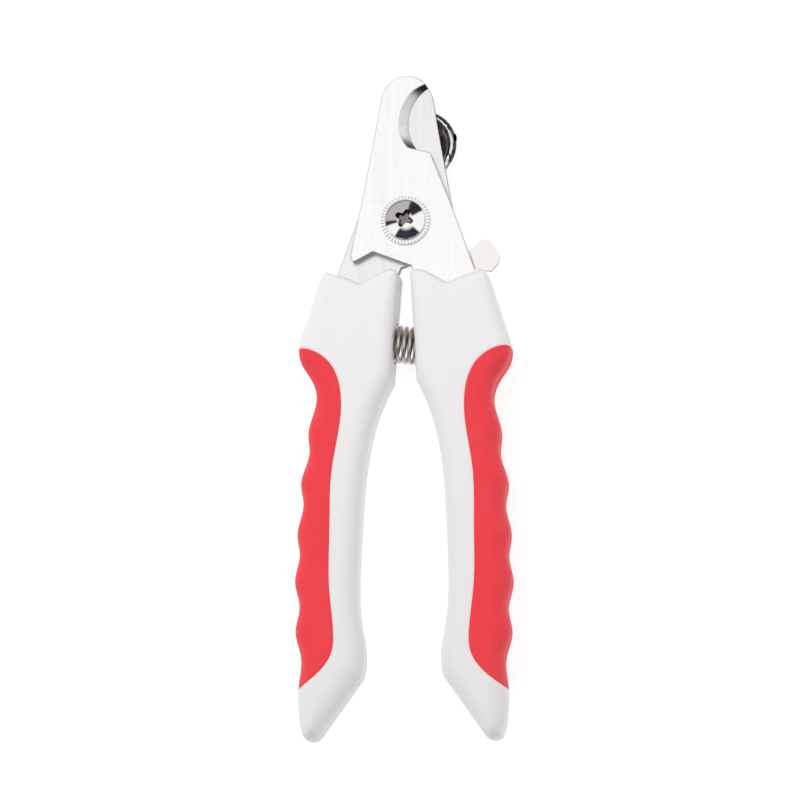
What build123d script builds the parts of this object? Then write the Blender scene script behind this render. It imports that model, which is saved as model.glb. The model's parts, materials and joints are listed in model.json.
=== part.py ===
"""Pet nail trimmer: two stamped blades on one pivot, levers with soft grips, a coil spring and a quick guard.

The trimmer lies flat on its back. X points right, Y towards the blade tips, Z out of the front.
The origin is on the pivot axis, in the plane that the levers and the pivot nut rest on.
The left half is the right half turned over about the Y axis in the plane where the blades meet.
"""

import os

from build123d import *

os.makedirs("parts", exist_ok=True)

# ---- driving dimensions, millimetres ----

lever_thickness = 12.4
lever_edge_radius = 1.7
lever_corner_radius = 1.2
lever_toe_radius = 2.2
core_rib_thickness = 4.4
through_cut = 3 * lever_thickness

meeting_z = lever_thickness / 2
blade_thickness = 2.4
blade_gap = 0.05
blade_low_z = meeting_z + blade_gap / 2
blade_high_z = blade_low_z + blade_thickness
blade_head_centre = (0, 28.1)
blade_head_radius = 5.8
edge_notch_centre = (10.3, 23.0)
edge_notch_radius = 10.0
face_notch_centre = (7.2, 23.2)
face_notch_radius = 9.1
notch_lip_start = (1.0, 17.0)
notch_lip_end = (5.5, 15.8)
blade_heel_radius = 0.6
tang_hole_radius = 1.5
tang_hole_places = [(12.08, -36.67), (12.29, -55.01)]

screw_radius = 2.0
screw_head_radius = 4.66
screw_head_rim = 0.8
screw_head_height = 2.5
screw_tip_z = 0.3
recess_span = 4.3
recess_width = 1.2
recess_depth = 1.7
recess_draft = 12
recess_angle = -27

bush_radius = 2.8
bush_bore_radius = 2.05
running_clearance = 0.05

toothed_washer_radius = 5.6
toothed_washer_height = 0.75
tooth_count = 44
tooth_root_radius = 4.75
tooth_gap_width = 0.28
tooth_gap_depth = 0.25

nut_flats = 7.0
nut_height = 2.1
nut_chamfer = 0.35
nut_insert_radius = 2.75
nut_insert_height = 0.8
back_washer_radius = 5.0
back_washer_height = 0.4
disc_spring_radius = 4.8
disc_spring_sheet = 0.25
disc_spring_height = 0.4

guard_sheet = 0.8
guard_high_z = meeting_z - blade_gap / 2 - blade_thickness - blade_gap
guard_low_z = guard_high_z - guard_sheet
guard_head_centre = (2.92, 19.15)
guard_head_radius = 7.9
guard_hub_radius = 5.2
guard_neck_centre = (0.9, 6.0)
guard_neck_radius = 2.4
guard_dish_radius = 7.4
guard_dish_depth = 2.9
guard_ear_centre = (9.4, 20.4)
guard_ear_radius = 1.6
guard_tab_corner = 0.6

spring_outer_radius = 4.35
spring_wire_radius = 0.435
spring_turns = 11
spring_length = 15.6
spring_centre = (0, -28.52)
spring_tilt = -9
spring_pocket_clearance = 0.3

# ---- blades ----

with BuildPart() as notch_cutter:
    # the cutting edge lies where the blades meet, and the hollow bevel opens towards the blade's face
    with BuildSketch(Plane.XY.offset(blade_low_z)):
        with Locations(edge_notch_centre):
            Circle(edge_notch_radius)
    with BuildSketch(Plane.XY.offset(blade_high_z)):
        with Locations(face_notch_centre):
            Circle(face_notch_radius)
    loft()
    lip_run = Vector(*notch_lip_end) - Vector(*notch_lip_start)
    lip_plane = Plane(origin=(*notch_lip_start, 0), x_dir=(0, 0, 1), z_dir=(-lip_run.Y, lip_run.X, 0))
    split(bisect_by=lip_plane, keep=Keep.TOP)

with BuildPart() as blade_blank:
    with BuildSketch(Plane.XY.offset(blade_low_z)):
        with BuildLine():
            back = Spline((-5.72, 29.1), (-8.7, 12.33), (-12.6, -7.95))
            heel = Line(back @ 1, (-12.1, -9.5))
            heel_edge = Line(heel @ 1, (-7.45, -7.03))
            foot = Line(heel_edge @ 1, (1.31, -10.39))
            tang_inner = Polyline(
                foot @ 1,
                (2.22, -12.84),
                (9.57, -21.39),
                (9.67, -40.75),
                (10.67, -63.16),
                (14.3, -63.16),
            )
            tang_outer = Polyline(tang_inner @ 1, (13.39, -40.75), (16.92, -20.37), (15.95, -11.96))
            front = ThreePointArc(tang_outer @ 1, (10.67, 2.75), notch_lip_end)
            throat = Line(front @ 1, (5.6, 28.1))
            crown = Line(throat @ 1, back @ 0)
        make_face()
        with Locations(blade_head_centre):
            Circle(blade_head_radius)
    extrude(amount=blade_thickness)
    heel_corners = blade_blank.edges().filter_by(Axis.Z).group_by(Axis.X)[0]
    fillet(heel_corners, radius=blade_heel_radius)
    add(notch_cutter.part, mode=Mode.SUBTRACT)
    with Locations(*[(x, y, blade_low_z) for x, y in tang_hole_places]):
        Cylinder(tang_hole_radius, through_cut, mode=Mode.SUBTRACT)

turn_over = Axis((0, 0, meeting_z), (0, 1, 0))

with BuildPart() as front_blade:
    add(blade_blank.part)
    Cylinder(bush_radius, through_cut, mode=Mode.SUBTRACT)
front_blade.part.label = "front_blade"

with BuildPart() as rear_blade:
    add(blade_blank.part.rotate(turn_over, 180))
    Cylinder(bush_radius + running_clearance, through_cut, mode=Mode.SUBTRACT)
rear_blade.part.label = "rear_blade"

# ---- levers: a stiff core with a soft grip moulded round its outer side ----

spring_direction = Vector(1, 0, 0).rotate(Axis.Z, spring_tilt)

with BuildPart() as spring_pocket:
    with BuildSketch(Plane(origin=(*spring_centre, meeting_z), z_dir=spring_direction)):
        Circle(spring_outer_radius + spring_pocket_clearance)
    extrude(amount=spring_length / 2 + spring_pocket_clearance, both=True)

with BuildPart() as lever_body:
    with BuildSketch():
        with BuildLine():
            shoulder = Spline((1.31, -11.51), (5.44, -12.02), (9.77, -14.57), (13.7, -13.04), (18.53, -11.87))
            flank = Line(shoulder @ 1, (24.17, -28.93))
            finger_waves = Spline(
                flank @ 1,
                (23.65, -32.6),
                (21.3, -36.6),
                (20.0, -40.65),
                (21.85, -49.31),
                (21.55, -53.48),
                (23.41, -60.71),
                (22.81, -65.2),
                (24.12, -72.33),
                (23.56, -76.91),
                (24.57, -83.02),
                (23.51, -88.83),
                (24.37, -94.33),
                (23.11, -100.24),
                (23.61, -107.0),
                (23.5, -113.0),
            )
            toe = ThreePointArc(finger_waves @ 1, (22.75, -117.2), (20.4, -120.6))
            sole = Line(toe @ 1, (9.1, -104.6))
            palm_side = Spline(
                sole @ 1,
                (8.6, -101.8),
                (9.6, -92.7),
                (9.97, -75.38),
                (9.06, -60.1),
                (5.39, -42.79),
                (2.79, -36.98),
            )
            stop_flat = Line(palm_side @ 1, shoulder @ 0)
        make_face()
    extrude(amount=lever_thickness)
    corners = lever_body.edges().filter_by(Axis.Z).filter_by(lambda edge: (edge @ 0).Y > -40)
    fillet(corners, radius=lever_corner_radius)
    toe_corner = lever_body.edges().filter_by(Axis.Z).sort_by(Axis.Y)[0]
    fillet(toe_corner, radius=lever_toe_radius)
    rims = lever_body.edges().filter_by(lambda edge: abs(edge.tangent_at(0.5).Z) < 0.1)
    fillet(rims, radius=lever_edge_radius)

with BuildPart() as grip_region:
    with BuildSketch(Plane.XY.offset(-lever_thickness)):
        with BuildLine():
            parting = Spline(
                (26.18, -29.5),
                (21.65, -30.1),
                (16.97, -33.01),
                (14.2, -39.63),
                (15.96, -57.96),
                (16.35, -71.1),
                (16.3, -85.0),
                (15.35, -94.5),
                (15.8, -100.0),
                (18.3, -103.8),
                (26.2, -109.2),
            )
            Line(parting @ 1, parting @ 0)
        make_face()
    extrude(amount=through_cut)

with BuildPart() as core_rib:
    # a thin web of the core that the grip wraps on three sides
    with BuildSketch(Plane.XY.offset(meeting_z - core_rib_thickness / 2)):
        with BuildLine():
            rib = Spline(
                (13.1, -35.2),
                (16.7, -41.8),
                (18.5, -53.0),
                (20.0, -67.2),
                (20.4, -83.5),
                (14.1, -99.8),
            )
            Line(rib @ 1, rib @ 0)
        make_face()
    extrude(amount=core_rib_thickness)

with BuildPart() as right_grip:
    add(lever_body.part)
    add(grip_region.part, mode=Mode.INTERSECT)
    add(core_rib.part, mode=Mode.SUBTRACT)
right_grip.part.label = "right_grip"

with BuildPart() as right_handle:
    add(lever_body.part)
    add(right_grip.part, mode=Mode.SUBTRACT)
    add(front_blade.part, mode=Mode.SUBTRACT)
    add(spring_pocket.part, mode=Mode.SUBTRACT)
right_handle.part.label = "right_handle"

with BuildPart() as left_grip:
    add(right_grip.part.rotate(turn_over, 180))
left_grip.part.label = "left_grip"

with BuildPart() as left_handle:
    add(lever_body.part.rotate(turn_over, 180))
    add(left_grip.part, mode=Mode.SUBTRACT)
    add(rear_blade.part, mode=Mode.SUBTRACT)
    add(spring_pocket.part, mode=Mode.SUBTRACT)
left_handle.part.label = "left_handle"

# ---- return spring, seated in a pocket of each lever ----

with BuildPart() as return_spring:
    mean_radius = spring_outer_radius - spring_wire_radius
    coil_run = spring_length - 2 * spring_wire_radius
    coil_start = Vector(*spring_centre, meeting_z) - spring_direction * (coil_run / 2)
    with BuildLine():
        coil = Helix(
            coil_run / spring_turns,
            coil_run,
            mean_radius,
            center=coil_start,
            direction=spring_direction,
        )
    with BuildSketch(Plane(origin=coil @ 0, z_dir=coil % 0)):
        Circle(spring_wire_radius)
    sweep(path=coil, is_frenet=True)
return_spring.part.label = "return_spring"

# ---- pivot, from the back to the front ----

back_washer_z = nut_height
disc_spring_z = back_washer_z + back_washer_height
washer_z = blade_high_z
screw_head_z = washer_z + toothed_washer_height

with BuildPart() as pivot_nut:
    with BuildSketch():
        RegularPolygon(nut_flats / 2, 6, major_radius=False)
    extrude(amount=nut_height)
    Cylinder(screw_radius, through_cut, mode=Mode.SUBTRACT)
    chamfer(pivot_nut.faces().sort_by(Axis.Z)[0].outer_wire().edges(), length=nut_chamfer)
    with BuildSketch():
        Circle(nut_insert_radius)
    extrude(amount=nut_insert_height, mode=Mode.SUBTRACT)
pivot_nut.part.label = "pivot_nut"

with BuildPart() as nut_lock_insert:
    with BuildSketch():
        Circle(nut_insert_radius)
        Circle(screw_radius, mode=Mode.SUBTRACT)
    extrude(amount=nut_insert_height)
nut_lock_insert.part.label = "nut_lock_insert"

with BuildPart() as back_washer:
    with BuildSketch(Plane.XY.offset(back_washer_z)):
        Circle(back_washer_radius)
        Circle(bush_bore_radius, mode=Mode.SUBTRACT)
    extrude(amount=back_washer_height)
back_washer.part.label = "back_washer"

with BuildPart() as disc_spring:
    # a shallow cone of spring sheet that keeps the blades pressed together
    with BuildSketch(Plane.XZ):
        with BuildLine():
            Polyline(
                (bush_radius + running_clearance, disc_spring_z),
                (bush_radius + running_clearance, disc_spring_z + disc_spring_sheet),
                (disc_spring_radius, disc_spring_z + disc_spring_height),
                (disc_spring_radius, disc_spring_z + disc_spring_height - disc_spring_sheet),
                close=True,
            )
        make_face()
    revolve(axis=Axis.Z)
disc_spring.part.label = "disc_spring"

with BuildPart() as pivot_bush:
    with BuildSketch(Plane.XY.offset(disc_spring_z)):
        Circle(bush_radius)
        Circle(bush_bore_radius, mode=Mode.SUBTRACT)
    extrude(amount=washer_z - disc_spring_z)
pivot_bush.part.label = "pivot_bush"

with BuildPart() as serrated_washer:
    with BuildSketch(Plane.XY.offset(washer_z)):
        Circle(toothed_washer_radius)
        Circle(bush_bore_radius, mode=Mode.SUBTRACT)
    extrude(amount=toothed_washer_height)
    tooth_gap_length = 2 * (toothed_washer_radius - tooth_root_radius)
    with Locations((0, 0, screw_head_z)):
        with PolarLocations(toothed_washer_radius, tooth_count):
            Box(tooth_gap_length, tooth_gap_width, 2 * tooth_gap_depth, mode=Mode.SUBTRACT)
serrated_washer.part.label = "serrated_washer"

with BuildPart() as pivot_screw:
    dome_rise = screw_head_height - screw_head_rim
    head_top_z = screw_head_z + screw_head_height
    dome_radius = (screw_head_radius**2 + dome_rise**2) / (2 * dome_rise)
    with BuildSketch(Plane.XZ):
        with BuildLine():
            Polyline(
                (0, head_top_z),
                (0, screw_tip_z),
                (screw_radius, screw_tip_z),
                (screw_radius, screw_head_z),
                (screw_head_radius, screw_head_z),
                (screw_head_radius, screw_head_z + screw_head_rim),
            )
            RadiusArc((screw_head_radius, screw_head_z + screw_head_rim), (0, head_top_z), -dome_radius)
        make_face()
    revolve(axis=Axis.Z)
    with BuildSketch(Plane.XY.offset(head_top_z)):
        Rectangle(recess_span, recess_width, rotation=recess_angle)
        Rectangle(recess_width, recess_span, rotation=recess_angle)
    extrude(amount=-recess_depth, taper=recess_draft, mode=Mode.SUBTRACT)
pivot_screw.part.label = "pivot_screw"

# ---- quick guard: a pressed plate with a dished stop behind the notch and a thumb tab ----

dish_inner_radius = (guard_dish_radius**2 + guard_dish_depth**2) / (2 * guard_dish_depth)
dish_centre = (*guard_head_centre, guard_high_z - guard_dish_depth + dish_inner_radius)

with BuildPart() as dish_shell:
    with Locations(dish_centre):
        Sphere(dish_inner_radius + guard_sheet)
        Sphere(dish_inner_radius, mode=Mode.SUBTRACT)
    split(bisect_by=Plane.XY.offset(guard_high_z), keep=Keep.BOTTOM)

with BuildPart() as dish_hollow:
    with Locations(dish_centre):
        Sphere(dish_inner_radius)

with BuildPart() as guard_plate:
    with BuildSketch(Plane.XY.offset(guard_low_z)):
        with BuildSketch(mode=Mode.PRIVATE) as teardrop:
            with Locations(guard_head_centre):
                Circle(guard_head_radius)
            with Locations(guard_neck_centre):
                Circle(guard_neck_radius)
        make_hull(teardrop.sketch.edges())
        Circle(guard_hub_radius)
        with Locations(guard_ear_centre):
            Circle(guard_ear_radius)
        with BuildLine():
            FilletPolyline(
                (-1.5, -4.8),
                (3.2, 3.8),
                (13.7, -6.6),
                (17.2, -3.5),
                (18.9, -3.9),
                (21.1, -7.6),
                (20.7, -9.2),
                (19.1, -11.1),
                (17.6, -10.8),
                (14.0, -9.8),
                radius=guard_tab_corner,
                close=True,
            )
        make_face()
    extrude(amount=guard_sheet)
    add(dish_hollow.part, mode=Mode.SUBTRACT)
    add(dish_shell.part)
    Cylinder(bush_radius + running_clearance, through_cut, mode=Mode.SUBTRACT)
guard_plate.part.label = "guard_plate"

# ---- write one file per piece ----

pieces = [
    front_blade,
    rear_blade,
    pivot_screw,
    serrated_washer,
    pivot_bush,
    guard_plate,
    disc_spring,
    back_washer,
    pivot_nut,
    nut_lock_insert,
    return_spring,
    left_handle,
    left_grip,
    right_handle,
    right_grip,
]
for piece in pieces:
    export_step(piece.part, f"parts/{piece.part.label}.step")
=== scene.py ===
import json
from math import cos, radians, sin, sqrt, tau

import bpy
import numpy as np
from mathutils import Matrix, Vector
from mathutils.geometry import delaunay_2d_cdt


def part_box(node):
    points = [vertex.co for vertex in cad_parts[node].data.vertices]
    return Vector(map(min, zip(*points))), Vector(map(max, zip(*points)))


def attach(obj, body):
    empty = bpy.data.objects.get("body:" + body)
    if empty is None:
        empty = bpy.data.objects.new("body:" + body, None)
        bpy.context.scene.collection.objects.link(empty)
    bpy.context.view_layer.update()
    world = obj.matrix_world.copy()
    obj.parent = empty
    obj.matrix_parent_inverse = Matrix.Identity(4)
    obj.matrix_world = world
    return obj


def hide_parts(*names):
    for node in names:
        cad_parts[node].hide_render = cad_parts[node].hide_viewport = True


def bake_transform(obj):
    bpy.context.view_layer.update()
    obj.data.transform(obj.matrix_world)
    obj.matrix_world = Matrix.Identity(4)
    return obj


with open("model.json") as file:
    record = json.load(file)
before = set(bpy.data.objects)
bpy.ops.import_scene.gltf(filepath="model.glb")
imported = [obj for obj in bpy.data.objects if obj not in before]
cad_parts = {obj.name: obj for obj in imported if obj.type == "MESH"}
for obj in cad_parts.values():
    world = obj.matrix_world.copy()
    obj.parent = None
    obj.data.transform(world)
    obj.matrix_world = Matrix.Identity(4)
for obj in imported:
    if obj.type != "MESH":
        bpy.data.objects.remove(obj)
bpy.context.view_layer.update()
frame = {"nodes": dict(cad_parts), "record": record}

MM = 0.001


# ---------------------------------------------------------------- finishes


class Flow:
    """A value, colour or vector on its way through the nodes of one recipe."""

    def __init__(self, recipe, socket):
        self.recipe = recipe
        self.socket = socket

    def sum(self, operation, first, second):
        return self.recipe.make("ShaderNodeMath", {"operation": operation}, {0: first, 1: second})

    def __add__(self, other):
        return self.sum("ADD", self, other)

    def __radd__(self, other):
        return self.sum("ADD", other, self)

    def __sub__(self, other):
        return self.sum("SUBTRACT", self, other)

    def __rsub__(self, other):
        return self.sum("SUBTRACT", other, self)

    def __mul__(self, other):
        return self.sum("MULTIPLY", self, other)

    def __rmul__(self, other):
        return self.sum("MULTIPLY", other, self)

    def __truediv__(self, other):
        return self.sum("DIVIDE", self, other)

    def clipped(self, low, high):
        """0 at low, 1 at high, and held there beyond them."""
        sockets = {"Value": self, "From Min": low, "From Max": high}
        return self.recipe.make("ShaderNodeMapRange", {"clamp": True}, sockets)


class Recipe:
    """The nodes of one finish or surround. Expressions on what it makes add their own nodes."""

    def __init__(self, tree, coordinate):
        self.tree = tree
        tree.nodes.clear()
        self.place = self.make("ShaderNodeTexCoord", output=coordinate)

    def make(self, kind, settings=None, sockets=None, output=0):
        node = self.tree.nodes.new(kind)
        for name, value in (settings or {}).items():
            if name == "stops":
                self.space_stops(node.color_ramp.elements, value)
            else:
                setattr(node, name, value)
        for key, value in (sockets or {}).items():
            self.feed(node.inputs[key], value)
        return Flow(self, node.outputs[output])

    def space_stops(self, stops, wanted):
        while len(stops) < len(wanted):
            stops.new(1.0)
        for stop, (position, colour) in zip(stops, wanted):
            stop.position = position
            stop.color = (*colour, 1)

    def feed(self, socket, value):
        if isinstance(value, Flow):
            self.tree.links.new(value.socket, socket)
        else:
            socket.default_value = value

    def noise(self, grain, detail=2.0, stretch=(1, 1, 1)):
        """Noise whose lumps are about grain metres across, drawn out along the axes by stretch."""
        scale = tuple(1 / (grain * s) for s in stretch)
        where = self.make("ShaderNodeMapping", None, {"Vector": self.place, "Scale": scale})
        sockets = {"Vector": where, "Scale": 1.0, "Detail": detail}
        return self.make("ShaderNodeTexNoise", None, sockets, "Fac")

    def axis(self, name):
        return self.make("ShaderNodeSeparateXYZ", None, {0: self.place}, name)

    def faces_up(self, low, high):
        """1 where the surface looks up or down, 0 on its walls, by how much of its normal is upright."""
        upright = self.make("ShaderNodeTexCoord", output="Normal")
        z = self.make("ShaderNodeSeparateXYZ", None, {0: upright}, "Z")
        return self.make("ShaderNodeMath", {"operation": "ABSOLUTE"}, {0: z}).clipped(low, high)

    def blend(self, mask, low, high):
        """The colour low where mask is 0 and high where it is 1."""
        low = low if isinstance(low, Flow) else (*low, 1)
        high = high if isinstance(high, Flow) else (*high, 1)
        sockets = {0: mask, 6: low, 7: high}
        return self.make("ShaderNodeMix", {"data_type": "RGBA"}, sockets, 2)


class Finish(Recipe):
    """One material, built round a Principled shader."""

    def __init__(self, name, **uniform):
        self.material = bpy.data.materials.new(name)
        self.material.use_nodes = True
        super().__init__(self.material.node_tree, "Object")
        self.shader = self.tree.nodes.new("ShaderNodeBsdfPrincipled")
        output = self.tree.nodes.new("ShaderNodeOutputMaterial")
        self.tree.links.new(self.shader.outputs[0], output.inputs["Surface"])
        for socket, value in uniform.items():
            self.shader.inputs[socket.replace("_", " ")].default_value = value

    def set(self, socket, value):
        self.feed(self.shader.inputs[socket], value)

    def relief(self, height, depth):
        """Surface relief of depth metres where height goes from 0 to 1."""
        self.set("Normal", self.make("ShaderNodeBump", None, {"Height": height, "Distance": depth}))


def white_plastic():
    """Satin injection-moulded plastic with a fine spark texture, faint flow marks and rubbed spots."""
    finish = Finish("white_plastic", IOR=1.49, Specular_IOR_Level=0.42)
    flow = finish.noise(22 * MM, 3, (0.5, 2.2, 1))
    rubbed = finish.noise(3.5 * MM, 4).clipped(0.55, 0.75)
    spark = finish.noise(0.22 * MM, 2)
    # the base colour darkens from the blade end towards the lever ends
    towards_blades = (finish.axis("Y") / (110 * MM) + 1.05).clipped(0, 1)
    pale = finish.blend(towards_blades, (0.835, 0.82, 0.81), (0.915, 0.90, 0.90))
    finish.set("Base Color", finish.blend(flow * 0.4, pale, (0.83, 0.815, 0.805)))
    finish.set("Roughness", 0.40 + spark * 0.08 - rubbed * 0.10)
    finish.relief(spark, 0.012 * MM)
    return finish.material


def red_grip():
    """Soft over-moulded rubber: matt, finely pebbled, a little dusty where it is handled."""
    finish = Finish("red_grip", IOR=1.5, Specular_IOR_Level=0.3, Sheen_Weight=0.06, Sheen_Roughness=0.5)
    tone = finish.noise(16 * MM, 3, (0.6, 2.0, 1))
    handled = finish.noise(5 * MM, 4).clipped(0.5, 0.8)
    cells = {"Vector": finish.place, "Scale": 1 / (0.42 * MM), "Smoothness": 0.6}
    pebble = finish.make("ShaderNodeTexVoronoi", {"feature": "SMOOTH_F1"}, cells, "Distance")
    body = finish.blend(tone, (0.92, 0.048, 0.063), (0.86, 0.052, 0.069))
    finish.set("Base Color", finish.blend(handled * 0.12, body, (0.86, 0.15, 0.16)))
    finish.set("Roughness", 0.56 + pebble * 0.12 - handled * 0.06)
    finish.relief(1 - pebble, 0.03 * MM)
    return finish.material


def blade_steel(name, light, pale):
    """Stainless strip, satin-ground along the blade, lightly scratched, with its walls painted dark as
    painted shade.
    """
    finish = Finish(name, Metallic=1.0)
    grind = finish.noise(0.10 * MM, 2, (1, 60, 1))
    bands = finish.noise(2.2 * MM, 3, (0.6, 10, 1))
    scratch = finish.noise(0.35 * MM, 1, (30, 1.2, 1)).clipped(0.68, 0.76)
    ground = finish.blend(bands.clipped(0.3, 0.7), light, pale)
    ground = finish.blend(scratch * 0.1, ground, (0.80, 0.80, 0.80))
    # painted shade: the blade's walls get a near-black steel colour, varying along the bands
    shaded_walls = finish.blend(bands, (0.05, 0.048, 0.052), (0.11, 0.105, 0.11))
    finish.set("Base Color", finish.blend(finish.faces_up(0.38, 0.68), shaded_walls, ground))
    finish.set("Roughness", 0.20 + grind * 0.13 + scratch * 0.05)
    finish.relief(grind + scratch * 0.3, 0.003 * MM)
    return finish.material


def plated_steel(name, recess_shade=None):
    """Bright nickel plate with a soft bloom and fine specks. The optional mask is where painted shade
    darkens the plate in its recesses.
    """
    finish = Finish(name, Metallic=1.0)
    bloom = finish.noise(0.9 * MM, 4)
    speck = finish.noise(0.12 * MM, 2)
    plate = finish.blend(bloom, (0.93, 0.915, 0.91), (0.82, 0.805, 0.80))
    if recess_shade:
        # painted shade: a dark colour laid into the recesses
        plate = finish.blend(recess_shade(finish), plate, (0.21, 0.19, 0.185))
    # painted shade: the plate's steep walls get a dark grey colour
    finish.set("Base Color", finish.blend(finish.faces_up(0.05, 0.4), (0.30, 0.29, 0.295), plate))
    finish.set("Roughness", 0.045 + bloom * 0.06 + speck * 0.03)
    finish.relief(speck, 0.002 * MM)
    return finish.material


def in_the_recess(finish):
    """Painted shade in the cross recess: below the screw's dome, near its axis. The dome is part of a
    sphere of sphere_width.
    """
    sphere_width = 14.47
    x, y, z = (finish.axis(name) / MM for name in "XYZ")
    outwards = x * x + y * y
    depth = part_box("pivot_screw")[1].z / MM - z - outwards / sphere_width
    return depth.clipped(0.16, 0.34) * (7.5 - outwards).clipped(0, 1)


def in_the_serrations(finish):
    """Painted shade on the floor of the washer's notches."""
    x, y, z = (finish.axis(name) / MM for name in "XYZ")
    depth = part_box("serrated_washer")[1].z / MM - z
    return depth.clipped(0.06, 0.18) * (x * x + y * y).clipped(25.0, 27.5) * 0.5


def guard_chrome():
    """Polished chrome on pressed sheet, with the ripple that pressing leaves and light wiping marks."""
    finish = Finish("guard_chrome", Metallic=1.0)
    ripple = finish.noise(4 * MM, 1)
    wiped = finish.noise(0.25 * MM, 2, (1, 14, 1)).clipped(0.5, 0.8)
    plate = finish.blend(ripple, (0.885, 0.855, 0.835), (0.83, 0.795, 0.775))
    # painted shade and painted dark reflection: the dish's slopes and the sheet's walls get a near-black
    # colour
    finish.set("Base Color", finish.blend(finish.faces_up(0.72, 1.0), (0.03, 0.028, 0.036), plate))
    finish.set("Roughness", 0.07 + wiped * 0.09)
    finish.relief(ripple, 0.02 * MM)
    return finish.material


def spring_wire():
    """Drawn spring wire, tempered brown-grey, with draw lines and an oily film."""
    finish = Finish("spring_steel", Metallic=1.0)
    heat = finish.noise(1.4 * MM, 3)
    draw = finish.noise(0.08 * MM, 1)
    finish.set("Base Color", finish.blend(heat, (0.71, 0.66, 0.61), (0.48, 0.44, 0.40)))
    finish.set("Roughness", 0.22 + draw * 0.14)
    finish.relief(draw, 0.003 * MM)
    return finish.material


def nylon():
    """Translucent off-white nylon ring."""
    finish = Finish("nylon", IOR=1.53, Subsurface_Weight=0.2, Subsurface_Scale=0.001)
    cloud = finish.noise(0.8 * MM, 2)
    finish.set("Base Color", finish.blend(cloud, (0.80, 0.81, 0.80), (0.70, 0.72, 0.72)))
    finish.set("Roughness", 0.42 + cloud * 0.1)
    return finish.material


finishes = {
    "white_plastic": white_plastic(),
    "red_grip": red_grip(),
    "blade_steel": blade_steel("blade_steel", (0.94, 0.925, 0.915), (0.985, 0.975, 0.965)),
    "plated_steel": plated_steel("plated_steel"),
    "guard_chrome": guard_chrome(),
    "spring_steel": spring_wire(),
    "nylon": nylon(),
}
# painted shade: a darker, shaded copy of the blade steel for the rear blade
rear_blade_steel_shaded = blade_steel("rear_blade_steel_shaded", (0.83, 0.82, 0.81), (0.895, 0.885, 0.875))
# plate copies with painted shade in the screw's cross recess and the washer's notches
screw_plate = plated_steel("screw_plate", in_the_recess)
washer_plate = plated_steel("washer_plate", in_the_serrations)


def dress(piece, slot):
    piece.data.materials.clear()
    piece.data.materials.append(finishes[slot])


for entry in frame["record"]["subparts"]:
    dress(frame["nodes"][entry["node"]], entry["material_slot"])
frame["nodes"]["serrated_washer"].data.materials[0] = washer_plate


# ---------------------------------------------------------------- lines, in millimetres


def even_run(line, count):
    """The same line with count evenly spaced points."""
    line = np.array(line, float)
    reach = np.concatenate([[0], np.cumsum(np.linalg.norm(np.diff(line, axis=0), axis=1))])
    at = np.linspace(0, reach[-1], count)
    return np.stack([np.interp(at, reach, line[:, k]) for k in (0, 1)], axis=1)


def smooth_run(points, count):
    """count evenly spaced points of the natural cubic curve through points."""
    points = np.array(points, float)
    knots = np.concatenate([[0], np.cumsum(np.linalg.norm(np.diff(points, axis=0), axis=1))])
    gaps = np.diff(knots)
    last = len(points) - 1
    system = np.eye(last + 1)
    pull = np.zeros_like(points)
    for i in range(1, last):
        system[i, i - 1 : i + 2] = gaps[i - 1], 2 * (gaps[i - 1] + gaps[i]), gaps[i]
        pull[i] = 6 * ((points[i + 1] - points[i]) / gaps[i] - (points[i] - points[i - 1]) / gaps[i - 1])
    bend = np.linalg.solve(system, pull)
    t = np.linspace(0, knots[-1], 4 * count)
    i = np.clip(np.searchsorted(knots, t, side="right") - 1, 0, last - 1)
    gap, before, after = gaps[i][:, None], (knots[i + 1] - t)[:, None], (t - knots[i])[:, None]
    curve = (bend[i] * before**3 + bend[i + 1] * after**3) / (6 * gap)
    curve += (points[i] / gap - bend[i] * gap / 6) * before
    curve += (points[i + 1] / gap - bend[i + 1] * gap / 6) * after
    return even_run(curve, count)


def arc(centre, radius, start, end, count):
    turn = np.radians(np.linspace(start, end, count))
    return np.stack([centre[0] + radius * np.cos(turn), centre[1] + radius * np.sin(turn)], axis=1)


def circle(centre, radius, count):
    return arc(centre, radius, 0, 360, count + 1)[:-1]


def rounded_loop(corners, radius):
    """A closed loop through straight runs, every corner rounded."""
    corners = np.array(corners, float)
    middles = (corners + np.roll(corners, -1, axis=0)) / 2
    bends = []
    for k, corner in enumerate(corners):
        runs = np.array([middles[k - 1], corner]), np.array([corner, middles[k]])
        bends.append(joined(*runs, radius, 7)[1:])
    return np.concatenate(bends)


def bearing(point, centre):
    away = np.array(point) - centre
    return np.degrees(np.arctan2(away[1], away[0]))


def joined(first, second, radius, count=9):
    """Two runs that meet in a corner, with the corner rounded."""
    corner = first[-1]
    back = first[np.linalg.norm(first - corner, axis=1) > 0.5 * radius][-1] - corner
    ahead = second[np.linalg.norm(second - corner, axis=1) > 0.5 * radius][0] - corner
    back, ahead = back / np.linalg.norm(back), ahead / np.linalg.norm(ahead)
    half = np.arccos(np.clip(back @ ahead, -1, 1)) / 2
    inwards = (back + ahead) / np.linalg.norm(back + ahead)
    centre = corner + inwards * radius / np.sin(half)
    trim = radius / np.tan(half)
    start, end = bearing(corner + back * trim, centre), bearing(corner + ahead * trim, centre)
    bend = arc(centre, radius, start, start + (end - start + 180) % 360 - 180, count)
    first = first[np.linalg.norm(first - corner, axis=1) > trim + 0.1]
    second = second[np.linalg.norm(second - corner, axis=1) > trim + 0.1]
    return np.concatenate([first, bend, second])


def closed(line):
    return np.concatenate([line, line[:1]])


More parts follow.
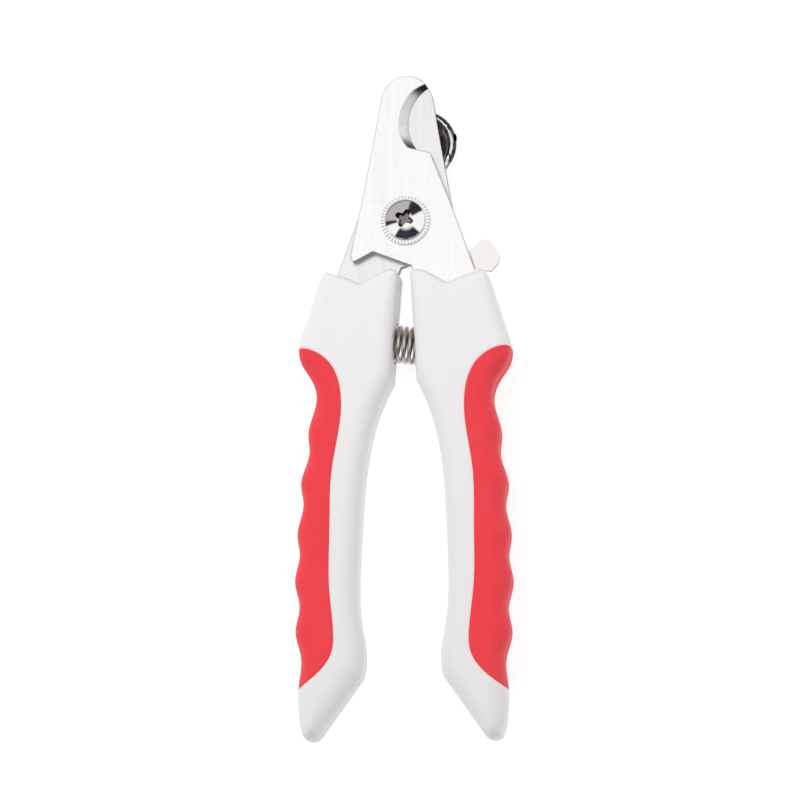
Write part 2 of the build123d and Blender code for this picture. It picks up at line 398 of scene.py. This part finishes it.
def nearest(points, line):
    """How far each point is from a line, and how many steps along the line its nearest place is."""
    start, step = line[:-1], np.diff(line, axis=0)
    length = np.maximum((step**2).sum(1), 1e-12)
    gaps, places = [], []
    for some in np.array_split(points, max(1, len(points) // 1500)):
        share = np.clip(((some[:, None] - start) * step).sum(2) / length, 0, 1)
        gap = np.linalg.norm(start + step * share[..., None] - some[:, None], axis=2)
        pick = gap.argmin(1)
        each = np.arange(len(some))
        gaps.append(gap[each, pick])
        places.append(pick + share[each, pick])
    return np.concatenate(gaps), np.concatenate(places)


def within(points, loop):
    """Which points are inside a closed loop."""
    x, y = points[:, :1], points[:, 1:]
    ax, ay = loop.T
    bx, by = np.roll(loop, -1, axis=0).T
    rise = np.where(by == ay, 1e-12, by - ay)
    crossing = ((ay > y) != (by > y)) & (x < (bx - ax) * (y - ay) / rise + ax)
    return crossing.sum(1) % 2 == 1


def sideways(line, looped):
    """Unit vectors to the left of each point of a line."""
    step = np.roll(line, -1, axis=0) - np.roll(line, 1, axis=0) if looped else np.gradient(line, axis=0)
    step = step / np.linalg.norm(step, axis=1)[:, None]
    return np.stack([-step[:, 1], step[:, 0]], axis=1)


def scattered(low, high, spacing):
    """A triangular grid of points over a rectangle."""
    rows = np.arange(low[1], high[1], spacing * 0.866)
    columns = np.arange(low[0], high[0], spacing)
    return np.array([(x + spacing / 2 * (j % 2), y) for j, y in enumerate(rows) for x in columns])


# ---------------------------------------------------------------- solids


seam_half_width = 0.11


def patch(loops, runs, fill):
    """Triangles over all that the loops enclose, with edges along runs and corners at fill points."""
    points, faces, edges = [], [], []
    for loop in loops:
        faces.append(list(range(len(points), len(points) + len(loop))))
        points.extend(loop)
    for run in runs:
        edges.extend((len(points) + i, len(points) + i + 1) for i in range(len(run) - 1))
        points.extend(run)
    points.extend(fill)
    flat = [Vector((float(x), float(y))) for x, y in points]
    corners, _, triangles, *_ = delaunay_2d_cdt(flat, edges, faces, 1, 1e-4)
    return np.array([tuple(c) for c in corners]), np.array([tuple(t) for t in triangles if len(t) == 3])


def slab(corners, triangles, top, bottom, seam=0.0):
    """A closed solid between two heights over a patch.

    seam is how deep a fine line is let in half-way down its walls.
    """
    used, triangles = np.unique(triangles, return_inverse=True)
    triangles = triangles.reshape(-1, 3)
    corners, top, bottom = corners[used], top[used], bottom[used]
    directed = {(a, b) for t in triangles for a, b in ((t[0], t[1]), (t[1], t[2]), (t[2], t[0]))}
    rim = [(a, b) for a, b in directed if (b, a) not in directed]
    rim.sort()
    inwards = np.zeros_like(corners)
    for a, b in rim:
        step = corners[b] - corners[a]
        left = np.array([-step[1], step[0]]) / np.linalg.norm(step)
        inwards[a] += left
        inwards[b] += left
    rim_corners = sorted({a for a, _ in rim})
    count = len(corners)
    row = {corner: i for i, corner in enumerate(rim_corners)}
    middle = (top + bottom) / 2
    half_line = np.minimum((top - bottom) / 4, seam_half_width)
    points = [np.column_stack([corners, top]), np.column_stack([corners, bottom])]
    for level, depth in ((1, 0), (0, seam), (-1, 0)):
        away = inwards[rim_corners] / np.linalg.norm(inwards[rim_corners], axis=1)[:, None]
        heights = middle[rim_corners] + level * half_line[rim_corners]
        points.append(np.column_stack([corners[rim_corners] + away * depth, heights]))
    faces = [tuple(t) for t in triangles] + [tuple(count + t[::-1]) for t in triangles]
    levels = [lambda c: c] + [lambda c, k=k: 2 * count + k * len(row) + row[c] for k in range(3)]
    levels.append(lambda c: count + c)
    for a, b in rim:
        for upper, lower in zip(levels, levels[1:]):
            faces.append((lower(a), lower(b), upper(b), upper(a)))
    return np.concatenate(points), faces


def stacked_rings(rings):
    """A closed solid whose rings, from the lowest up, all have the same number of points."""
    size = len(rings[0])
    faces = [tuple(reversed(range(size)))]
    for start in range(0, (len(rings) - 1) * size, size):
        for i in range(size):
            j = (i + 1) % size
            faces.append((start + i, start + j, start + size + j, start + size + i))
    faces.append(tuple((len(rings) - 1) * size + i for i in range(size)))
    return np.concatenate(rings), faces


def turned(profile, steps):
    """A solid turned about the pivot axis from a closed profile of (radius, height) points."""
    ring = len(profile)
    turn = np.arange(steps) * tau / steps
    points = np.array([(r * cos(a), r * sin(a), z) for a in turn for r, z in profile])
    faces = []
    for i in range(steps):
        j = (i + 1) % steps
        for k in range(ring):
            following = (k + 1) % ring
            faces.append((i * ring + k, j * ring + k, j * ring + following, i * ring + following))
    return points, faces


def at_height(outline, z):
    return np.column_stack([outline, np.full(len(outline), z)])


def shape(points, faces, name="scratch"):
    """A Blender object from points in millimetres."""
    mesh = bpy.data.meshes.new(name)
    corners = [tuple(float(c) * MM for c in point) for point in points]
    mesh.from_pydata(corners, [], [tuple(int(k) for k in face) for face in faces])
    piece = bpy.data.objects.new(name, mesh)
    bpy.context.scene.collection.objects.link(piece)
    return piece


def prism(outline, low, high):
    return shape(*stacked_rings([at_height(outline, low), at_height(outline, high)]))


def cut(piece, tool):
    """Takes tool away from piece, and then removes tool."""
    step = piece.modifiers.new("cut", "BOOLEAN")
    step.object = tool
    step.operation = "DIFFERENCE"
    step.solver = "EXACT"
    mesh = bpy.data.meshes.new_from_object(piece.evaluated_get(bpy.context.evaluated_depsgraph_get()))
    old, spare = piece.data, tool.data
    piece.modifiers.clear()
    piece.data = mesh
    bpy.data.objects.remove(tool)
    bpy.data.meshes.remove(old)
    bpy.data.meshes.remove(spare)


def finished(piece, name, slot, body, replaces, edge=0.0, sharp=35):
    """Names and dresses a made shape, breaks its sharp edges, and rides it on body for its CAD node.

    edge is the width of the broken edge in millimetres, and sharp the angle that counts as an edge.
    """
    piece.name = piece.data.name = name
    for polygon in piece.data.polygons:
        polygon.use_smooth = True
        polygon.material_index = 0
    piece.data.set_sharp_from_angle(angle=radians(sharp))
    dress(piece, slot)
    if edge:
        soften = piece.modifiers.new("edge_break", "BEVEL")
        soften.width = edge * MM
        soften.segments = 2
        soften.limit_method = "ANGLE"
        soften.angle_limit = radians(sharp)
        soften.harden_normals = True
    if body:
        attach(piece, body)
    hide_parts(replaces)
    return piece


lever_low, lever_high = (corner.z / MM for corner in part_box("right_handle"))
meeting = (lever_low + lever_high) / 2


def turned_over(points):
    """The left half's place for a shape made for the right half."""
    return points * (-1, 1, -1) + (0, 0, 2 * meeting)


# ---------------------------------------------------------------- blades

blade_head = np.array([0, 28.1])
blade_head_radius = 5.8
crown_end = 170.1
notch_meeting = np.array([10.3, 23.0])
notch_meeting_radius = 10.0
notch_face = np.array([7.2, 23.2])
notch_face_radius = 9.1
lip_start = np.array([1.0, 17.0])
lip_end = np.array([5.5, 15.8])

back_foot = (-12.6, -7.95)
heel = (-12.1, -9.5)
heel_step = (-7.45, -7.03)
tail_end = (1.31, -10.39)
heel_corner = 0.6
blade_tang = [(2.22, -12.84), (9.57, -21.39), (9.67, -40.75), (10.67, -63.16), (14.3, -63.16)]
blade_tang += [(13.39, -40.75), (16.92, -20.37)]

front_bore = 2.83
rear_bore = 2.88
blade_edge = 0.26


def notch_and_crown(share):
    """From the lip round the notch to its tooth and over the crown.

    share is 0 on the face where the blades meet and 1 on the outer face.
    """
    centre = notch_meeting * (1 - share) + notch_face * share
    radius = notch_meeting_radius * (1 - share) + notch_face_radius * share
    way = (lip_start - lip_end) / np.linalg.norm(lip_start - lip_end)
    off = lip_end - centre
    along = -(off @ way) + sqrt(max((off @ way) ** 2 - off @ off + radius**2, 0))
    foot = lip_end + way * along
    gap = blade_head - centre
    far = np.linalg.norm(gap)
    reach = (far**2 + radius**2 - blade_head_radius**2) / (2 * far)
    across = np.array([gap[1], -gap[0]]) / far
    tooth = centre + gap / far * reach + across * sqrt(radius**2 - reach**2)
    throat = arc(centre, radius, bearing(foot, centre) % 360, bearing(tooth, centre) % 360, 60)
    crown = arc(blade_head, blade_head_radius, bearing(tooth, blade_head), crown_end, 40)
    return np.concatenate([even_run([lip_end, foot], 8)[:-1], throat[:-1], crown])


def blade_outline(share):
    """Down the back, round the heel, along the tail and the tang, and up the front to the notch."""
    back = smooth_run([(-5.72, 29.1), (-8.7, 12.33), back_foot], 40)[1:]
    heel_cut = even_run([back_foot, heel], 5)
    underside = even_run([heel, heel_step], 20)
    tail = even_run([heel_step, tail_end], 30)
    outline = joined(np.concatenate([back, heel_cut[1:]]), underside, heel_corner)
    outline = joined(outline, tail, heel_corner)
    front = smooth_run([(15.95, -11.96), (10.67, 2.75), lip_end], 30)[:-1]
    return np.concatenate([outline, blade_tang, front, notch_and_crown(share)])


def blade(name, body, node, bore, over):
    """One stamped blade, bored for the pivot. The rear one is turned over."""
    low, high = (corner.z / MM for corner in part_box("front_blade"))
    shares = (0, 0.34, 0.67, 1)
    points, faces = stacked_rings([at_height(blade_outline(s), low + (high - low) * s) for s in shares])
    piece = shape(turned_over(points) if over else points, faces)
    cut(piece, prism(circle((0, 0), bore, 72), lever_low, lever_high))
    return finished(piece, name, "blade_steel", body, node, edge=blade_edge)


blade("front_blade_ground", "right_half", "front_blade", front_bore, False)
rear = blade("rear_blade_ground", "left_half", "rear_blade", rear_bore, True)
rear.data.materials[0] = rear_blade_steel_shaded


# ---------------------------------------------------------------- levers and grips

shoulder_fall = [(1.31, -11.51), (4.6, -11.95), (9.9, -15.0)]
shoulder_rise = [(9.9, -15.0), (13.7, -13.35), (18.53, -11.87)]
finger_waves = [(24.17, -28.93), (23.65, -32.6), (21.3, -36.6), (20.0, -40.65), (21.85, -49.31)]
finger_waves += [(21.55, -53.48), (23.41, -60.71), (22.81, -65.2), (24.12, -72.33)]
finger_waves += [(23.56, -76.91), (24.57, -83.02), (23.51, -88.83), (24.37, -94.33)]
finger_waves += [(23.11, -100.24), (23.61, -107.0), (23.5, -113.0)]
toe_round = [(23.5, -113.0), (22.75, -117.2), (20.4, -120.6)]
palm_side = [(9.1, -104.6), (8.6, -101.8), (9.6, -92.7), (9.97, -75.38), (9.06, -60.1), (5.39, -42.79)]
palm_side += [(2.79, -36.98)]
grip_parting = [(26.18, -29.5), (21.65, -30.1), (16.97, -33.01), (14.2, -39.63), (15.96, -57.96)]
grip_parting += [(16.35, -71.1), (16.3, -85.0), (15.35, -94.5), (15.8, -100.0), (18.3, -103.8)]
grip_parting += [(26.2, -109.2)]

rim_heights = (-112, -101, -92, -44, -34, -22, -14, -10)
rim_radii = (4.6, 4.6, 4.2, 4.0, 3.0, 2.8, 1.8, 1.5)
grip_rim = 3.7
rim_rows = 9
rim_ease = 7
groove_depth = 0.16
groove_width = 0.3
mould_seam_depth = 0.06
edge_step = 0.45
face_spacing = 1.4

spring_tilt = -9
pocket_radius = 4.65
pocket_reach = 8.1


def lever_outline():
    """The right lever's edge, clockwise from the foot of its stop flat, in steps of about 0.45 mm."""
    fall = joined(even_run(shoulder_fall[:2], 12), even_run(shoulder_fall[1:], 20), 5.0)
    top = joined(fall, even_run(shoulder_rise, 30), 1.0)
    waves = smooth_run(finger_waves, 400)
    palm = smooth_run(palm_side, 300)
    edge = joined(even_run([palm[-1], top[0]], 80), top, 1.2)
    edge = joined(edge, even_run([top[-1], waves[0]], 60), 1.2)
    edge = np.concatenate([edge[:-1], waves[:-1], smooth_run(toe_round, 24)])
    edge = joined(edge, even_run([toe_round[-1], palm_side[0]], 60), 2.6)
    edge = joined(edge, palm, 4.0)
    return even_run(edge, 580)[:-1]


def lever_shapes():
    """Points and faces of the right lever's white moulding and of its red grip."""
    edge = lever_outline()[::-1]
    steps = 240
    parting = smooth_run(grip_parting, steps)
    gap, _ = nearest(parting, closed(edge))
    near_top, near_toe = steps // 4, 3 * steps // 4
    upper, lower = gap[:near_top].argmin(), near_toe + gap[near_toe:].argmin()
    ends = [int(np.linalg.norm(edge - parting[i], axis=1).argmin()) for i in (upper, lower)]
    edge = np.roll(edge, -ends[1], axis=0)
    upper_end = (ends[0] - ends[1]) % len(edge)
    parting = parting[upper + 1 : lower]
    clear = np.linalg.norm(parting - edge[upper_end], axis=1) > 0.3
    clear &= np.linalg.norm(parting - edge[0], axis=1) > 0.3
    parting = np.concatenate([edge[upper_end : upper_end + 1], parting[clear], edge[:1]])
    grip_loop = np.concatenate([edge[: upper_end + 1], parting[1:-1]])

    along = np.minimum(np.arange(len(edge)), upper_end - np.arange(len(edge))) * edge_step / rim_ease
    rise = np.clip(along, 0, 1)
    plain = np.interp(edge[:, 1], rim_heights, rim_radii)
    rims = plain + np.clip(grip_rim - plain, 0, None) * rise * rise * (3 - 2 * rise)
    loop, around = closed(edge), np.append(rims, rims[0])
    inwards = sideways(edge, True)

    rows = []
    for angle in np.radians(np.linspace(10, 90, rim_rows)):
        depth = rims * (1 - cos(angle))
        row = edge + inwards * depth[:, None]
        rows.append(row[nearest(row, loop)[0] > depth - 0.02])
    for side in (-2, -1, 1, 2):
        row = parting + sideways(parting, False) * side * groove_width
        row = row[(nearest(row, parting)[0] > abs(side) * groove_width * 0.95) & within(row, edge)]
        rows.append(row[nearest(row, loop)[0] > 0.1])
    for row in rows[:rim_rows]:
        row[nearest(row, parting)[0] < 2.4 * groove_width] = np.nan
    inner = scattered(edge.min(0), edge.max(0), face_spacing)
    far, place = nearest(inner, loop)
    clear = within(inner, edge) & (far > np.interp(place, range(len(loop)), around) + 0.7)
    rows.append(inner[clear & (nearest(inner, parting)[0] > 1.2)])
    fill = np.concatenate(rows)
    fill = fill[~np.isnan(fill[:, 0])]

    corners, triangles = patch([edge], [parting], fill)
    far, place = nearest(corners, loop)
    rim = np.interp(place, range(len(loop)), around)
    roll = np.clip(rim - far, 0, None)
    drop = rim - np.sqrt(rim**2 - roll**2)
    hollow = np.clip(1 - nearest(corners, parting)[0] / groove_width, 0, 1)
    half = meeting - lever_low - drop - groove_depth * hollow
    red = within(corners[triangles].mean(1), grip_loop)
    heights = meeting + half, meeting - half
    return [slab(corners, triangles[pick], *heights, seam=mould_seam_depth) for pick in (~red, red)]


def spring_axis():
    """The spring's middle, the way it points, and the way across it, level with the table."""
    low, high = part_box("return_spring")
    tilt = radians(spring_tilt)
    return (low + high) / 2 / MM, Vector((cos(tilt), sin(tilt), 0)), Vector((-sin(tilt), cos(tilt), 0))


def spring_pocket():
    """The round hole across both levers that the spring sits in."""
    centre, along, aside = spring_axis()
    rings = []
    for reach in (-pocket_reach, pocket_reach):
        turn = np.arange(48) * tau / 48
        ways = [aside * cos(a) + Vector((0, 0, 1)) * sin(a) for a in turn]
        ring = [centre + along * reach + way * pocket_radius for way in ways]
        rings.append(np.array([tuple(p) for p in ring]))
    return shape(*stacked_rings(rings))


lever_parts = (("handle", "white_plastic"), ("grip", "red_grip"))

for side, over in (("right", False), ("left", True)):
    for (part, slot), (points, faces) in zip(lever_parts, lever_shapes()):
        piece = shape(turned_over(points) if over else points, faces)
        if part == "handle":
            cut(piece, spring_pocket())
        finished(piece, f"{side}_{part}_moulding", slot, f"{side}_half", f"{side}_{part}", sharp=40)


# ---------------------------------------------------------------- pivot screw

screw_head_radius = 4.66
screw_head_height = 2.5
screw_head_rim = 0.8
screw_shank_radius = 2.0
screw_edge = 0.14
recess_turn = -27
recess_levels = ((-1.7, 0.66), (-0.5, 1.0), (0.4, 1.13))


def screw_profile():
    """The screw from its tail to the top of its low dome, by radius and height."""
    low, high = (corner.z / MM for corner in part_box("pivot_screw"))
    head, shank, rim = screw_head_radius, screw_shank_radius, screw_head_rim
    underside = high - screw_head_height
    rise = high - underside - rim
    sphere = (head**2 + rise**2) / (2 * rise)
    dome = [(r, high - sphere + sqrt(sphere**2 - r * r)) for r in np.linspace(head - 0.06, 0.02, 26)]
    edge = [(head - 0.12, underside), (head, underside + 0.12), (head, underside + rim - 0.1)]
    return [(0.02, low), (shank - 0.3, low), (shank, low + 0.3), (shank, underside)] + edge + dome


def cross_recess():
    """A tapered cross recess, its wings rounded at the ends and wider towards the middle."""
    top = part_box("pivot_screw")[1].z / MM
    quarter = [(2.05, -0.42), (2.16, 0), (2.05, 0.42), (1.75, 0.6), (1.05, 0.72), (0.8, 0.8)]
    quarter += [(0.72, 1.05), (0.6, 1.75)]
    wing = np.array(quarter)
    outline = []
    for k in range(4):
        turn = radians(90 * k + recess_turn)
        spin = np.array([[cos(turn), sin(turn)], [-sin(turn), cos(turn)]])
        outline.extend(wing @ spin)
    outline = even_run(closed(np.array(outline)), 97)[:-1]
    rings = [at_height(outline * scale, top + z) for z, scale in recess_levels]
    return shape(*stacked_rings(rings))


def pivot_screw():
    piece = shape(*turned(screw_profile(), 96))
    cut(piece, cross_recess())
    name, node = "pivot_screw_turned", "pivot_screw"
    finished(piece, name, "plated_steel", "right_half", node, edge=screw_edge, sharp=38)
    piece.data.materials[0] = screw_plate


pivot_screw()


# ---------------------------------------------------------------- guard

guard_head = np.array([2.92, 19.15])
guard_head_radius = 7.9
guard_neck = np.array([0.9, 6.0])
guard_neck_radius = 2.4
guard_hub_radius = 5.2
guard_bore = 2.85
guard_ear = (9.4, 20.4)
guard_ear_radius = 1.6
guard_bar = [(-1.5, -4.8), (3.2, 3.8), (13.7, -6.6), (17.2, -3.5), (18.9, -3.9), (21.1, -7.6)]
guard_bar += [(20.7, -9.2), (19.1, -11.1), (17.6, -10.8), (14.0, -9.8)]
guard_bar_corner = 0.6
guard_sheet = 0.8
guard_dish_radius = 7.0
guard_roll = 1.5


def guard_plate():
    """A pressed sheet: a dished head with a thumb ear, a hub round the pivot, and an arm with a tab."""
    low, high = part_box("guard_plate")[0].z / MM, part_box("guard_plate")[1].z / MM
    head, radius, roll = guard_head, guard_head_radius, guard_roll
    run = guard_neck - head
    length = np.linalg.norm(run)
    spread = np.degrees(np.arccos((radius - guard_neck_radius) / length))
    way = bearing(guard_neck, head)
    bowl_edge = arc(head, radius, way + spread, way + 360 - spread, 90)
    neck_edge = arc(guard_neck, guard_neck_radius, way - spread, way + spread, 20)
    hub = circle((0, 0), guard_hub_radius, 80)
    ear = circle(guard_ear, guard_ear_radius, 40)
    bar = rounded_loop(guard_bar, guard_bar_corner)
    loops = [np.concatenate([bowl_edge, neck_edge]), hub, ear, bar]
    bore = circle((0, 0), guard_bore, 64)

    rolled = radius - roll * (1 - np.cos(np.radians([12, 25, 38, 51, 64, 77, 90])))
    rings = [circle(head, r, max(12, int(6 * r))) for r in (*np.linspace(0.6, 6.25, 20), *rolled)]
    rest = scattered((-6, -12), (22, 28), 1.1)
    rest = rest[np.linalg.norm(rest - head, axis=1) > 8.2]
    corners, triangles = patch(loops + [bore], [], np.concatenate(rings + [rest]))
    triangles = triangles[np.linalg.norm(corners[triangles].mean(1), axis=1) > guard_bore - 0.01]

    inside = np.clip(1 - (np.linalg.norm(corners - head, axis=1) / guard_dish_radius) ** 2, 0, 1)
    bowl = (high - guard_sheet - low) * inside**1.25
    from_edge = np.abs(radius - np.linalg.norm(corners - head, axis=1))
    from_edge[corners[:, 1] < head[1] - 4.5] = roll
    fall = roll - np.sqrt(roll**2 - np.clip(roll - from_edge, 0, None) ** 2)
    top, bottom = high - bowl - 0.9 * fall, high - guard_sheet - bowl - 0.7 * fall
    piece = shape(*slab(corners, triangles, top, bottom))
    finished(piece, "guard_plate_pressed", "guard_chrome", "guard", "guard_plate", edge=0.12, sharp=50)


guard_plate()


# ---------------------------------------------------------------- return spring

wire_radius = 0.435
spring_length = 15.6
spring_turns = 11


def return_spring():
    """A coil of round wire, its turns spread evenly along the spring's axis."""
    centre, along, aside = spring_axis()
    front = Vector((0, 0, 1))
    low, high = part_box("return_spring")
    wire = wire_radius
    radius = (high.z - low.z) / MM / 2 - wire
    run = spring_length - 2 * wire
    turns, ring = spring_turns, 12
    steps = turns * 30
    points = []
    for i in range(steps + 1):
        t = i / steps
        turn = tau * turns * t
        out = aside * cos(turn) + front * sin(turn)
        spot = centre + along * (run * (t - 0.5)) + out * radius
        forward = front * cos(turn) - aside * sin(turn)
        heading = (along * (run / turns / tau) + forward * radius).normalized()
        side = heading.cross(out)
        for j in range(ring):
            around = tau * j / ring
            points.append(spot + (out * cos(around) + side * sin(around)) * wire)
    faces = []
    for i in range(steps):
        for j in range(ring):
            k = (j + 1) % ring
            faces.append((i * ring + j, i * ring + k, (i + 1) * ring + k, (i + 1) * ring + j))
    faces.append(tuple(reversed(range(ring))))
    faces.append(tuple(steps * ring + j for j in range(ring)))
    spring = shape([tuple(p) for p in points], faces)
    finished(spring, "return_spring_wire", "spring_steel", None, "return_spring", sharp=60)
    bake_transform(spring)


return_spring()


# ---------------------------------------------------------------- stage, light and camera


def floor():
    """A matt white table, lit a little from below so that it stays white round the trimmer."""
    span = 3.0
    drop = 0.05 * MM
    mesh = bpy.data.meshes.new("studio_floor")
    corners = [(-span, -span), (span, -span), (span, span), (-span, span)]
    mesh.from_pydata([(x, y, -drop) for x, y in corners], [], [(0, 1, 2, 3)])
    board = bpy.data.objects.new("studio_floor", mesh)
    bpy.context.scene.collection.objects.link(board)
    paint = Finish("studio_floor", Specular_IOR_Level=0.1, Roughness=0.9, Emission_Strength=0.86)
    paint.set("Base Color", (0.22, 0.22, 0.22, 1))
    paint.set("Emission Color", (1.0, 1.0, 1.0, 1))
    board.data.materials.append(paint.material)


def soft_light(name, place, target, size, power):
    """A square lamp that lights the trimmer but isn't mirrored in its metal."""
    lamp = bpy.data.lights.new(name, "AREA")
    lamp.shape = "RECTANGLE"
    lamp.size, lamp.size_y = size
    lamp.energy = power
    holder = bpy.data.objects.new(name, lamp)
    bpy.context.scene.collection.objects.link(holder)
    holder.visible_glossy = False
    holder.location = place
    holder.rotation_euler = (Vector(target) - Vector(place)).to_track_quat("-Z", "Y").to_euler()


def surround():
    """A white tent overhead, with dark and grey cards round its foot for polished metal to mirror."""
    world = bpy.data.worlds.new("studio")
    bpy.context.scene.world = world
    world.use_nodes = True
    recipe = Recipe(world.node_tree, "Generated")
    height = recipe.axis("Z")
    y_and_x = {0: recipe.axis("Y"), 1: recipe.axis("X")}
    round_about = recipe.make("ShaderNodeMath", {"operation": "ARCTAN2"}, y_and_x)
    white, grey = (1.0, 1.0, 1.0), (0.50, 0.49, 0.49)
    dark, blue = (0.03, 0.026, 0.03), (0.035, 0.05, 0.075)
    cards = [(0, dark), (0.012, dark), (0.025, white), (0.125, white), (0.135, dark)]
    cards += [(0.22, blue), (0.39, dark), (0.405, white), (0.60, white), (0.62, dark)]
    cards += [(0.72, dark), (0.735, grey), (0.975, grey), (0.985, dark)]
    ring = recipe.make("ShaderNodeValToRGB", {"stops": cards}, {0: round_about / tau + 0.5}, "Color")
    standing = recipe.blend(height.clipped(0.03, 0.2), (0.16, 0.16, 0.17), ring)
    tent = recipe.blend(height.clipped(0.81, 0.93), standing, white)
    glow = recipe.make("ShaderNodeBackground", None, {"Color": tent, "Strength": 1.06})
    output = recipe.tree.nodes.new("ShaderNodeOutputWorld")
    recipe.feed(output.inputs["Surface"], glow)


def camera():
    """A long lens over the trimmer, a little to its right and towards the lever ends."""
    facing = Vector((0.118, -0.190, 0.975)).normalized()
    target = Vector((-0.95, -41.6, 9.0)) * MM
    distance = 1.5
    frame_width = 181.0 * MM
    sensor = 36
    lens = bpy.data.cameras.new("camera")
    lens.sensor_width = sensor
    lens.lens = sensor * distance / frame_width
    lens.clip_end = 20
    holder = bpy.data.objects.new("camera", lens)
    bpy.context.scene.collection.objects.link(holder)
    across = Vector((0, 1, 0)).cross(facing).normalized()
    upright = Matrix((across, facing.cross(across), facing)).transposed().to_4x4()
    lean = Matrix.Rotation(radians(0.4), 4, "Z")
    holder.matrix_world = Matrix.Translation(target + facing * distance) @ upright @ lean
    bpy.context.scene.camera = holder


floor()
surround()
soft_light("key", place=(-0.35, 0.25, 0.9), target=(0, -0.04, 0), size=(0.7, 0.7), power=4.4)
camera()
bpy.context.scene.view_settings.view_transform = "Standard"
